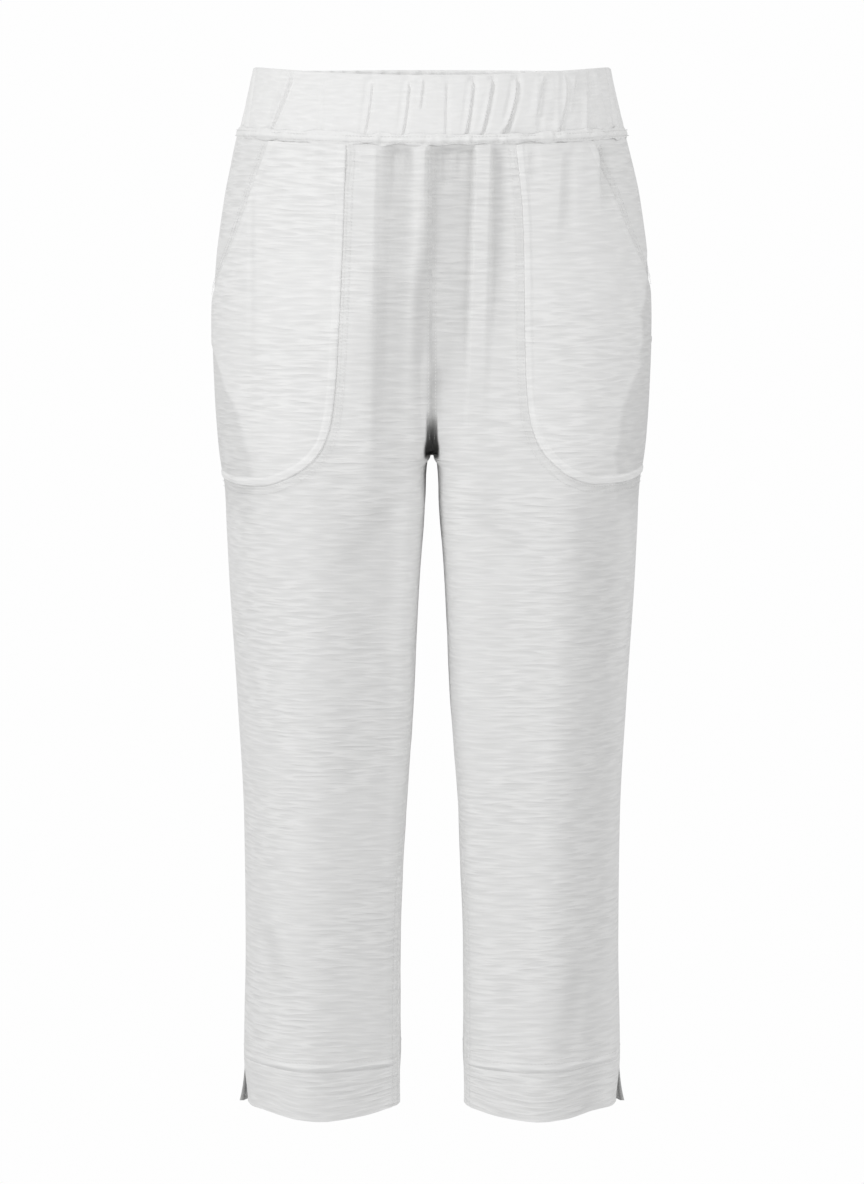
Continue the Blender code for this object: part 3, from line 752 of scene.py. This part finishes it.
def add_shell(name, material, outer, inner, uv, stride, closed, inside_out,
              painted_light_and_double_cloth=None, shade=0):
    """Closed shell: a fine outer grid and a coarser inner one, joined along the rims."""
    outer, inner, uv = (np.array(grid) for grid in (outer, inner, uv))
    row_places = coarse_places(outer.shape[0], stride, False)
    column_places = coarse_places(outer.shape[1], stride, closed)
    kept = np.ix_(row_places, column_places)
    points = np.concatenate((outer.reshape(-1, 3), inner[kept].reshape(-1, 3)))
    flat = np.concatenate((uv.reshape(-1, 2), uv[kept].reshape(-1, 2)))
    fine = np.arange(outer[..., 0].size).reshape(outer.shape[:2])
    coarse = fine.size + np.arange(inner[kept][..., 0].size).reshape(inner[kept].shape[:2])
    if closed:
        fine, coarse = (np.hstack((grid, grid[:, :1])) for grid in (fine, coarse))
        column_places.append(outer.shape[1])
    faces = []
    for grid, turn in ((fine, 1), (coarse, -1)):
        corners = (grid[:-1, :-1], grid[1:, :-1], grid[1:, 1:], grid[:-1, 1:])
        faces += np.stack([corner.ravel() for corner in corners], axis=1)[:, ::turn].tolist()
    rims = [(fine[0], coarse[0], column_places, 1), (fine[-1], coarse[-1], column_places, -1)]
    if not closed:
        rims += [(fine[:, k], coarse[:, k], row_places, turn) for k, turn in ((0, -1), (-1, 1))]
    for outer_line, inner_line, places, turn in rims:
        outer_line, inner_line = outer_line.tolist(), inner_line.tolist()
        for k in range(len(places) - 1):
            edge = outer_line[places[k]:places[k + 1] + 1] + inner_line[k:k + 2][::-1]
            faces.append(edge[::turn])
    if inside_out:
        faces = [face[::-1] for face in faces]
    mesh = bpy.data.meshes.new(name)
    mesh.from_pydata(points.tolist(), [], faces)
    mesh.validate()
    set_uv(mesh, flat, float(uv[0, -1, 0]) if closed else 0)
    # Painted shade and painted light for the material, one value a point; the inner face gets the
    # extra shade on top
    if painted_light_and_double_cloth is not None:
        shares = np.concatenate((painted_light_and_double_cloth.ravel(), (painted_light_and_double_cloth + shade)[kept].ravel()))
        layer = mesh.attributes.new("painted_light_and_double_cloth", "FLOAT", "POINT")
        layer.data.foreach_set("value", shares.astype(np.float32))
    mesh.shade_smooth()
    mesh.set_sharp_from_angle(angle=math.radians(55))
    piece = add_piece(name + "_cloth", mesh, material)
    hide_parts(name)
    return piece


def add_object(name, data):
    thing = bpy.data.objects.new(name, data)
    bpy.context.scene.collection.objects.link(thing)
    return thing


def add_piece(name, mesh, material):
    piece = add_object(name, mesh)
    mesh.materials.append(material)
    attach(piece, "root")
    return piece


def strips(stops, counts):
    """Even places between the stops, so many to each strip, and the last stop."""
    parts = [np.linspace(start, end, count + 1)[:-1]
             for start, end, count in zip(stops, stops[1:], counts)]
    return np.concatenate(parts + [stops[-1:]])


def panel_heights():
    """Row heights of a panel, closer together towards the crotch."""
    turns = np.linspace(0, math.pi / 2, CROTCH_ROWS + 1)[:-1]
    crotch = INSEAM_ROWS_Z - (INSEAM_ROWS_Z - CROTCH_Z) * np.sin(turns)
    leg = strips((CROTCH_Z, CROTCH_Z - 0.008, HEM_STITCH_Z + 0.008, HEM_STITCH_Z - 0.008, HEM_Z),
                 LEG_ROWS)
    return np.concatenate((strips((SEAM_Z, INSEAM_ROWS_Z), (HIP_ROWS,))[:-1], crotch, leg))


def panel_places(z, is_front):
    """Column places across a panel at one height, from the side seam."""
    front_end, back_end = (float(end) for end in body.ends(z))
    part = SLIT_PART * min(max(share_of(z, SLIT_Z, HEM_Z), 0), 1)
    if is_front:
        middle = max(body.around_of_x(FOLD_ZONE_X, z), front_end + 0.03)
        stops = (front_end, front_end + CENTRE_STRIP, middle, -part - SEAM_STRIP, -part)
        return strips(stops, FRONT_COLUMNS)
    return strips((part, part + SEAM_STRIP, back_end - SEAM_STRIP, back_end), BACK_COLUMNS)


def make_panel(name, side, is_front, material):
    sign = SIDES[side]
    heights = panel_heights()
    around = np.array([panel_places(z, is_front) for z in heights])
    z = np.repeat(heights[:, None], around.shape[1], axis=1)
    height = panel_height(around, z, sign, is_front)
    outer = body.place(around, z, height, sign)
    low = lowest_near(height, INNER_STRIDE, False)
    inner = body.place(around, z, low - wall_thickness(z), sign)
    uv = cloth_uv(around, z, sign, 0 if is_front else 0.31)
    painted_light_and_double_cloth = painted_light_share(around, z, sign, is_front)
    # Painted shade on the inner face of the cloth at the slit, and behind on the outer face at the
    # flap's edge
    in_slit = smooth((SLIT_Z - z) / 0.006) * fall((np.abs(around) - 0.02) / 0.01)
    shade = INSIDE_SHADE * in_slit
    if not is_front:
        painted_light_and_double_cloth += shade * fall(np.abs(around) / 0.0022)
    return add_shell(name, material, outer, inner, uv, INNER_STRIDE, False, sign < 0,
                     painted_light_and_double_cloth, shade)


def cloth_uv(around, z, sign, shift):
    """Across the cloth from the side seam, and up it; each piece has its own yarns."""
    across = sign * around + shift + 0.7 * sign
    return np.stack((across, z + 0.113 * sign + shift), axis=-1)


# Places of a ring; along is the distance round it from the centre front
Ring = namedtuple("Ring", "around z signs along x in_front")


def whole_ring(height):
    """The places of a ring at one height, from the centre back round the front."""
    front_end = float(body.row_value(body.front_end, height))
    back_end = float(body.row_value(body.back_end, height))
    half = np.linspace(front_end, back_end, BAND_HALF_COLUMNS + 1)
    around = np.concatenate((half[::-1], half[1:-1]))
    signs = np.where(np.arange(len(around)) < len(half), -1, 1)
    z = np.full_like(around, height)
    return Ring(around, z, signs, signs * (around - front_end),
                signs * body.read(body.x, around, z), body.read(body.y, around, z) < MID_Y)


def ring_points(ring, height):
    points = body.place(ring.around, ring.z, height, ring.signs)
    points[0, 0] = points[BAND_HALF_COLUMNS, 0] = 0
    return points


def ring_uv(ring, shift):
    return np.stack((ring.along - ring.along[0], ring.z + shift), axis=-1)


def band_height(ring, rise):
    """How far out the casing is; rise is 0 at the seam and 1 at the top."""
    total = pucker_height(ring, rise)
    total -= BAND_TUCK * fall(rise / BAND_TUCK_RISE)
    notch = smooth((ring.x - NOTCH_FROM) / 0.004)
    notch *= fall(share_of(ring.x, NOTCH_FROM, NOTCH_TO))
    total -= ring.in_front * (NOTCH_DEPTH * notch * fall(rise / 0.25))
    up = rise * (TOP_Z - SEAM_Z)
    total += 0.0004 * soft_noise(ring.along, up, 0.011, 0.02, 11)
    return total + 0.0002 * soft_noise(ring.along, up, 0.005, 0.012, 12)


def make_waistband(material):
    round_top = BAND_CLOTH / 2
    rises = np.linspace(0, 1, BAND_RISE_STEPS + 1)[::-1]
    rings = [whole_ring(SEAM_Z + (TOP_Z - SEAM_Z) * rise) for rise in rises]
    heights = np.array([band_height(ring, rise) for ring, rise in zip(rings, rises)])
    outer, inner, uv = [], [], []
    for ring, height, low in zip(rings, heights, lowest_near(heights, 2, True)):
        up = 1 - min((TOP_Z - ring.z[0]) / round_top, 1)
        roll = round_top * (1 - math.sqrt(1 - up * up))
        outer.append(ring_points(ring, height - roll))
        inner.append(ring_points(ring, low + (roll - BAND_CLOTH)))
        uv.append(ring_uv(ring, 0.4))
    # Painted light on the inner face of the casing, where it shows over the back rim
    return add_shell("waistband", material, outer, inner, uv, 2, True, False,
                     np.zeros(heights.shape), RIM_PAINTED_LIGHT)


def seam_height(ring):
    """How far out the cloth is at the waist seam, above or below it."""
    above = band_height(ring, WELT_HEIGHT / 2 / (TOP_Z - SEAM_Z))
    below = fold_height(FRONT_FOLDS, ring.x, SEAM_Z - WELT_HEIGHT / 2)
    return np.maximum(above, ring.in_front * np.maximum(below, 0))


def welt_swell(lift):
    """How far the seam's band stands out; lift is 1 at its top and -1 at its foot."""
    swell = WELT_STAND + WELT_SWELL * max(1 - lift * lift, 0)
    return swell - WELT_DENT * float(hill((abs(lift) - WELT_STITCH) / 0.25))


def make_waist_seam(material):
    """The stitched band over the waist seam, with a soft, slightly gathered face."""
    outer, inner, uv = [], [], []
    for lift in np.linspace(1, -1, 15):
        ring = whole_ring(SEAM_Z + WELT_HEIGHT / 2 * lift)
        base = seam_height(ring)
        gather = soft_noise(ring.along, lift * 0.004, 0.0075, 0.008, 21)
        gather += 0.5 * soft_noise(ring.along, lift * 0.004, 0.003, 0.006, 22)
        gather *= WELT_GATHER * (1 - 0.6 * lift * lift)
        for pinch in FRONT_PINCHES:
            dip = pinch.depth * hill((ring.x - pinch.x - 0.001 * lift) / pinch.half_width)
            gather -= ring.in_front * dip
        waver = soft_noise(ring.along, 0, 0.014, 1, 23)
        waver = WELT_WAVER * (waver + 0.6 * soft_noise(ring.along, 0, 0.006, 1, 24))
        swell = welt_swell(lift) * (1 - WELT_SIDE_CALM * smooth((np.abs(ring.x) - 0.148) / 0.015))
        for points, height in ((outer, np.maximum(swell + gather, 0.0004)), (inner, 0.0002)):
            placed = ring_points(ring, base + height)
            placed[:, 2] += lift * WELT_HEIGHT / 2 * waver
            points.append(placed)
        uv.append(ring_uv(ring, 0.9))
    return add_shell("waist_seam", material, outer, inner, uv, 2, True, False)


def read_line(places, line, table):
    """Values of a table at distances along its line."""
    run = run_along(line)
    return np.stack([np.interp(places, run, column) for column in table.T], axis=-1)


def along_points(points, share):
    """Points at even shares of the length of a smooth curve through points."""
    stations = run_along(points)
    fine = np.linspace(0, stations[-1], 400)
    curve = np.transpose([monotone_curve(fine, stations, line) for line in np.transpose(points)])
    return read_line(share * run_along(curve)[-1], curve, curve)


def pocket_edges(side, down, across):
    """A pocket's four edges as (distance from the side seam, z)."""
    lines = POCKETS[side]
    points = lines.inner + lines.bottom
    sewn = along_points(points, np.linspace(0, 1, 801))
    turn = int(np.argmin(np.hypot(*(sewn - np.array(lines.inner[-1])).T)))
    share = turn / 800
    sewn = along_points(points, np.concatenate((down * share, share + across[1:] * (1 - share))))
    sewn = np.array([(body.around_of_x(x, z), z) for x, z in sewn])
    inner, bottom = sewn[:len(down)], sewn[len(down) - 1:]
    seam = [(0, z) for z in np.linspace(lines.mouth[-1].value, lines.bottom[-1].value, 9)[1:]]
    outer = along_points(lines.mouth + seam, down) * np.array((-1, 1))
    bottom[-1] = outer[-1]
    top = inner[0] + (outer[0] - inner[0]) * across[:, None]
    return inner, bottom, outer, top


def edge_distance(places, edge):
    """Distance on the cloth from each place to an edge line."""
    nearest = np.full(places.shape[:-1], np.inf)
    for x, z in edge:
        nearest = np.minimum(nearest, np.hypot(places[..., 0] - x, places[..., 1] - z))
    return nearest


def pocket_base(around, z, sign):
    """Height of the panel's cloth under a pocket, without its seams."""
    x = sign * body.read(body.x, around, z)
    folds = fold_height(FRONT_FOLDS, x, z) + waist_gathers(x, z, 0)
    folds *= smooth(-around / SEAM_CALM)
    folds -= side_turn(around, z, sign, "depth")
    return folds + smooth(-around / 0.02) * cloth_wobble(around, z, sign)


def turned_band(distance):
    """1 on the folded edge of a pocket, 0 past its stitching."""
    return fall((distance - EDGE_STITCH) / 0.001)


def pocket_rise(sewn, mouth):
    """How far the pocket stands over the panel, by distance from its sewn edge and mouth."""
    rise = POCKET_LIFT + POCKET_BULGE * smooth(sewn / 0.03)
    for distance, share in ((sewn, 1), (mouth, 0.6)):
        rise += share * (EDGE_SWELL * turned_band(distance) + dent(distance - EDGE_STITCH))
        rise -= EDGE_DROP * fall(distance / EDGE_ROUND) ** 2
    return rise + 0.4 * dent(sewn - EDGE_STITCH_OUTER)


def make_pocket(name, side, material):
    sign = SIDES[side]
    down = np.linspace(0, 1, POCKET_ROWS + 1)
    across = np.linspace(0, 1, POCKET_COLUMNS + 1)
    inner_edge, bottom, outer_edge, top = pocket_edges(side, down, across)
    v = down[:, None, None]
    u = across[None, :, None]
    sides = (1 - u) * inner_edge[:, None] + u * outer_edge[:, None]
    ends = (1 - v) * top[None] + v * bottom[None]
    corners = (1 - v) * ((1 - u) * top[0] + u * top[-1])
    corners += v * ((1 - u) * bottom[0] + u * bottom[-1])
    grid = sides + ends - corners
    around, z = grid[..., 0], grid[..., 1]
    base = pocket_base(around, z, sign)
    sewn = edge_distance(grid, np.concatenate((inner_edge, bottom)))
    mouth = edge_distance(grid, outer_edge[:int(MOUTH_SHARE * POCKET_ROWS)])
    height = base + pocket_rise(sewn, mouth)
    low = np.minimum(base + 0.0002, height - 0.0004)
    outer = body.place(around, z, height, sign)
    inner = body.place(around, z, lowest_near(low, 2, False), sign)
    uv = cloth_uv(around, z, sign, 0.57)
    # The turned edges are whitened, partly for the double cloth and partly as a painted highlight
    # that is strongest low down
    bright = 0.4 + 0.6 * smooth((DOUBLE_AND_HIGHLIGHT_Z - z) / 0.05)
    double = bright * np.maximum(turned_band(sewn), 0.35 * turned_band(mouth))
    painted_light_and_double_cloth = painted_light_share(around, z, sign, True) * (1 - double) - double
    # Painted shade along the mouth
    painted_light_and_double_cloth += MOUTH_SHADE * fall(mouth / 0.014)
    piece = add_shell(name, material, outer, inner, uv, 2, False, sign < 0, painted_light_and_double_cloth)
    return piece, (inner_edge, bottom, outer_edge)


def stitch_mesh(name, rows, material):
    """Rows of short raised stitches. A row is its points and the way out at each."""
    quads = [(5 * ring + k, 5 * ring + (k + 1) % 5) for ring in range(3) for k in range(5)]
    stitch = [(a, b, b + 5, a + 5) for a, b in quads] + [(4, 3, 2, 1, 0), (15, 16, 17, 18, 19)]
    angles = [math.pi * (0.5 + 2 * turn / 5) for turn in range(5)]
    points, faces = [], []
    for path, outward in rows:
        places = np.arange(STITCH_PITCH, run_along(path)[-1] - STITCH_PITCH, STITCH_PITCH)
        middle = read_line(places, path, path)
        along = read_line(places + 0.0005, path, path) - middle
        along /= np.linalg.norm(along, axis=1)[:, None]
        out = read_line(places, path, outward)
        out -= along * np.sum(out * along, axis=1)[:, None]
        out /= np.linalg.norm(out, axis=1)[:, None]
        beside = np.cross(along, out)
        for k in range(len(places)):
            faces += [tuple(len(points) + corner for corner in face) for face in stitch]
            points += [middle[k] + along[k] * share * STITCH_LENGTH
                       + beside[k] * (math.cos(angle) * width * STITCH_WIDTH / 2)
                       + out[k] * (math.sin(angle) * width * STITCH_WIDTH * 0.42)
                       for share, width in STITCH_RINGS for angle in angles]
    mesh = bpy.data.meshes.new(name)
    mesh.from_pydata(points, [], faces)
    mesh.validate()
    set_uv(mesh, np.array(points)[:, [0, 2]])
    mesh.shade_smooth()
    return add_piece(name, mesh, material)


def row_on(around, z, height, sign):
    """A line on the cloth as points and the way out at each."""
    low = body.place(around, z, height, sign)
    high = body.place(around, z, height + 0.001, sign)
    return low, high - low


def line_heights(start, end):
    return np.linspace(start, end, max(int(abs(start - end) / 0.002), 8))


def panel_row(around, z, sign, is_front):
    height = panel_height(around, z, sign, is_front) + STITCH_PROUD
    return row_on(around, z, height, sign)


def leg_rows(side):
    """Twin needle rows along the inseam, in front, and the row that holds up the hem."""
    z = line_heights(CROTCH_Z - 0.012, HEM_Z + 0.004)
    inseam, _ = body.ends(z)
    rows = [panel_row(inseam + stitch, z, SIDES[side], True) for stitch in INSEAM_STITCHES]
    place = HEM_STITCH_Z + HEM_RIDGE_HALF
    front_end, back_end = body.ends(place)
    for is_front, start, end in ((True, front_end, 0), (False, 0, back_end)):
        around = np.linspace(start + 0.002, end - 0.002, 120)
        rows.append(panel_row(around, np.full_like(around, place), SIDES[side], is_front))
    return rows


def centre_rows(side):
    """Rows beside the centre front and centre back seams."""
    z = line_heights(SEAM_Z - 0.008, CROTCH_Z + 0.014)
    front_end, back_end = body.ends(z)
    return [panel_row(front_end + CENTRE_STITCH, z, SIDES[side], True),
            panel_row(back_end - CENTRE_STITCH, z, SIDES[side], False)]


def pocket_rows(side, edges):
    """Two rows inside the sewn edge of a pocket and two along its mouth."""
    inner_edge, bottom, outer_edge = edges
    mouth_line = outer_edge[:int(MOUTH_SHARE * POCKET_ROWS)]
    sewn_line = np.concatenate((inner_edge, bottom[1:]))
    rows = []
    for line, turn in ((sewn_line, 1), (mouth_line, -1)):
        ahead = np.gradient(line, axis=0)
        ahead /= np.linalg.norm(ahead, axis=1)[:, None]
        beside = np.stack((ahead[:, 1], -ahead[:, 0]), axis=-1) * turn
        for inset in (EDGE_STITCH_OUTER, EDGE_STITCH):
            places = line + beside * inset
            places = places[(places[:, 0] < -0.001) & (places[:, 1] < -0.033)]
            around, z = places.T
            base = pocket_base(around, z, SIDES[side])
            sewn, mouth = (edge_distance(places, edge) for edge in (sewn_line, mouth_line))
            height = base + pocket_rise(sewn, mouth) + STITCH_PROUD
            rows.append(row_on(around, z, height, SIDES[side]))
    return rows


def welt_rows():
    """Two rows round the band over the waist seam."""
    rows = []
    for lift in (WELT_STITCH, -WELT_STITCH):
        ring = whole_ring(SEAM_Z + WELT_HEIGHT / 2 * lift)
        height = seam_height(ring) + (welt_swell(lift) + STITCH_PROUD)
        rows.append(row_on(ring.around, ring.z, height, ring.signs))
    return rows


def fill(tree, node, inputs):
    """Links the inputs that are sockets and sets the others."""
    for key, value in inputs.items():
        if isinstance(value, bpy.types.NodeSocket):
            tree.links.new(value, node.inputs[key])
        else:
            node.inputs[key].default_value = value


def node_adder(tree):
    def add(kind, inputs={}, **settings):
        node = tree.nodes.new("ShaderNode" + kind)
        for key, value in settings.items():
            setattr(node, key, value)
        fill(tree, node, inputs)
        return node
    return add


def new_material(name):
    material = bpy.data.materials.new(name)
    material.use_nodes = True
    return material, material.node_tree, node_adder(material.node_tree)


def cloth_material(name, colour, slub_gain, slub_width=0.0026, slub_length=0.025):
    """White slub knit: thick and thin yarn along the courses, fine courses and a soft sheen; its
    colour is greyed by painted shade and whitened by painted light and double cloth.
    """
    material, tree, add = new_material(name)
    uv = add("UVMap", uv_map="cloth").outputs["UV"]

    def noise(scale_u, scale_v, detail, shift):
        mapping = add("Mapping", {"Vector": uv, "Scale": (1 / scale_u, 1 / scale_v, 1),
                                  "Location": (shift, shift * 1.7, shift * 0.3)})
        inputs = {"Vector": mapping.outputs["Vector"], "Scale": 1, "Detail": detail,
                  "Roughness": 0.5}
        return add("TexNoise", inputs, noise_dimensions="2D").outputs["Fac"]

    def combine(operation, a, b):
        return add("Math", {0: a, 1: b}, operation=operation).outputs["Value"]

    def plus(a, b):
        return combine("ADD", a, b)

    def times(a, b):
        return combine("MULTIPLY", a, b)

    def band(value, low, high):
        return add("MapRange", {"Value": value, "From Min": low, "From Max": high},
                   interpolation_type="SMOOTHSTEP").outputs["Result"]

    slub = band(noise(slub_length * 0.8, slub_width * 0.9, 0, 3.1), 0.48, 0.8)
    streaks = combine("SUBTRACT", noise(slub_length, slub_width * 1.2, 0.5, 29), 0.5)
    course = noise(0.006, 0.0011, 1, 7.7)
    grain = noise(0.0011, 0.0008, 1, 11.9)
    patches = plus(times(band(noise(0.11, 0.08, 0, 41), 0.35, 0.65), 0.6), 0.75)
    relief = times(times(plus(slub, times(streaks, 2.6)), patches), slub_gain)
    height = plus(relief, plus(times(course, 0.3), times(grain, 0.14)))
    bump = add("Bump", {"Strength": 1, "Distance": SLUB_RELIEF, "Height": height})
    ramp = add("Mix", {"A": tuple(0.93 * c for c in colour) + (1,),
                       "B": tuple(min(1.04 * c, 1) for c in colour) + (1,),
                       "Factor": plus(times(relief, 0.55), 0.42)}, data_type="RGBA")
    # Painted shade and painted light: a point attribute greys or whitens the base colour
    painted_light_and_double_cloth = add("Attribute", attribute_name="painted_light_and_double_cloth").outputs["Fac"]
    greyer = times(combine("MAXIMUM", painted_light_and_double_cloth, 0), PAINTED_SHADE_TONE - 1)
    whiter = times(combine("MINIMUM", painted_light_and_double_cloth, 0), 1 - DOUBLE_CLOTH_AND_LIGHT_TONE)
    toned = add("VectorMath", {"Vector": ramp.outputs["Result"],
                               "Scale": plus(plus(greyer, whiter), 1)}, operation="SCALE")
    fill(tree, tree.nodes["Principled BSDF"], {
        "Normal": bump.outputs["Normal"], "Base Color": toned.outputs["Vector"],
        "Roughness": 0.88, "Specular IOR Level": 0.25, "Sheen Weight": 0.12,
        "Sheen Roughness": 0.5})
    return material


def thread_material():
    material, tree, add = new_material("sewing_thread")
    uv = add("UVMap", uv_map="cloth").outputs["UV"]
    texture = add("TexNoise", {"Vector": uv, "Scale": 2600}, noise_dimensions="2D")
    ramp = add("Mix", {"A": (0.8, 0.8, 0.795, 1), "B": (0.88, 0.88, 0.875, 1),
                       "Factor": texture.outputs["Fac"]}, data_type="RGBA")
    fill(tree, tree.nodes["Principled BSDF"], {
        "Base Color": ramp.outputs["Result"], "Roughness": 0.6, "Sheen Weight": 0.1})
    return material


def white_to_the_eye(tree, output, lit, lit_inputs, seen):
    """Looks plain white, and lights the rest as the shader lit does."""
    tree.nodes.clear()
    add = node_adder(tree)
    mix = add("MixShader", {
        "Fac": add("LightPath").outputs["Is Camera Ray"], 1: add(lit, lit_inputs).outputs[0],
        2: add(seen, {"Color": WHITE, "Strength": BACKGROUND}).outputs[0]})
    add(output, {"Surface": mix.outputs["Shader"]})


def aim(thing, place, target):
    thing.location = place
    way = Vector(target) - Vector(place)
    thing.rotation_euler = way.to_track_quat("-Z", "Y").to_euler()


def make_studio():
    """White world and floor for the eye, with soft light from the upper left front."""
    scene = bpy.context.scene
    scene.view_settings.view_transform = "Standard"
    scene.world = bpy.data.worlds.new("studio")
    scene.world.use_nodes = True
    white_to_the_eye(scene.world.node_tree, "OutputWorld", "Background",
                     {"Color": WHITE, "Strength": WORLD_LIGHT}, "Background")
    mesh = bpy.data.meshes.new("floor")
    corners = [(x * FLOOR_HALF, y * FLOOR_HALF, FLOOR_Z)
               for x, y in ((-1, -1), (1, -1), (1, 1), (-1, 1))]
    mesh.from_pydata(corners, [], [(0, 1, 2, 3)])
    add_object("floor", mesh)
    material, tree, _ = new_material("floor_white")
    white_to_the_eye(tree, "OutputMaterial", "BsdfDiffuse", {"Color": FLOOR_COLOUR}, "Emission")
    mesh.materials.append(material)
    for lamp in LAMPS:
        light = bpy.data.lights.new(lamp.name, "AREA")
        light.shape = "DISK"
        light.size = lamp.size
        light.energy = lamp.watts
        aim(add_object(lamp.name, light), lamp.place, lamp.target)


def make_camera():
    data = bpy.data.cameras.new("camera")
    data.sensor_width = 36
    data.lens = 108.3
    camera = add_object("camera", data)
    aim(camera, (0, -3.0813, -0.0836), (0, 0, -0.42378))
    bpy.context.scene.camera = camera


def main():
    make_camera()
    make_studio()
    panel_cloth = cloth_material("slub_knit_panels", (0.885, 0.885, 0.881), 1)
    pocket_cloth = cloth_material("slub_knit_pockets", (0.915, 0.915, 0.911), 1)
    band_cloth = cloth_material("slub_knit_waistband", (0.935, 0.935, 0.931), 0.4, 0.0024, 0.014)
    thread = thread_material()
    for side in SIDES:
        front = make_panel("front_panel_" + side, side, True, panel_cloth)
        back = make_panel("back_panel_" + side, side, False, panel_cloth)
        pocket, edges = make_pocket("pocket_" + side, side, pocket_cloth)
        stitch_mesh("pocket_stitching_" + side, pocket_rows(side, edges), thread)
        stitch_mesh("leg_stitching_" + side, leg_rows(side), thread)
        stitch_mesh("centre_stitching_" + side, centre_rows(side), thread)
    band = make_waistband(band_cloth)
    welt = make_waist_seam(band_cloth)
    stitch_mesh("waist_stitching", welt_rows(), thread)


main()
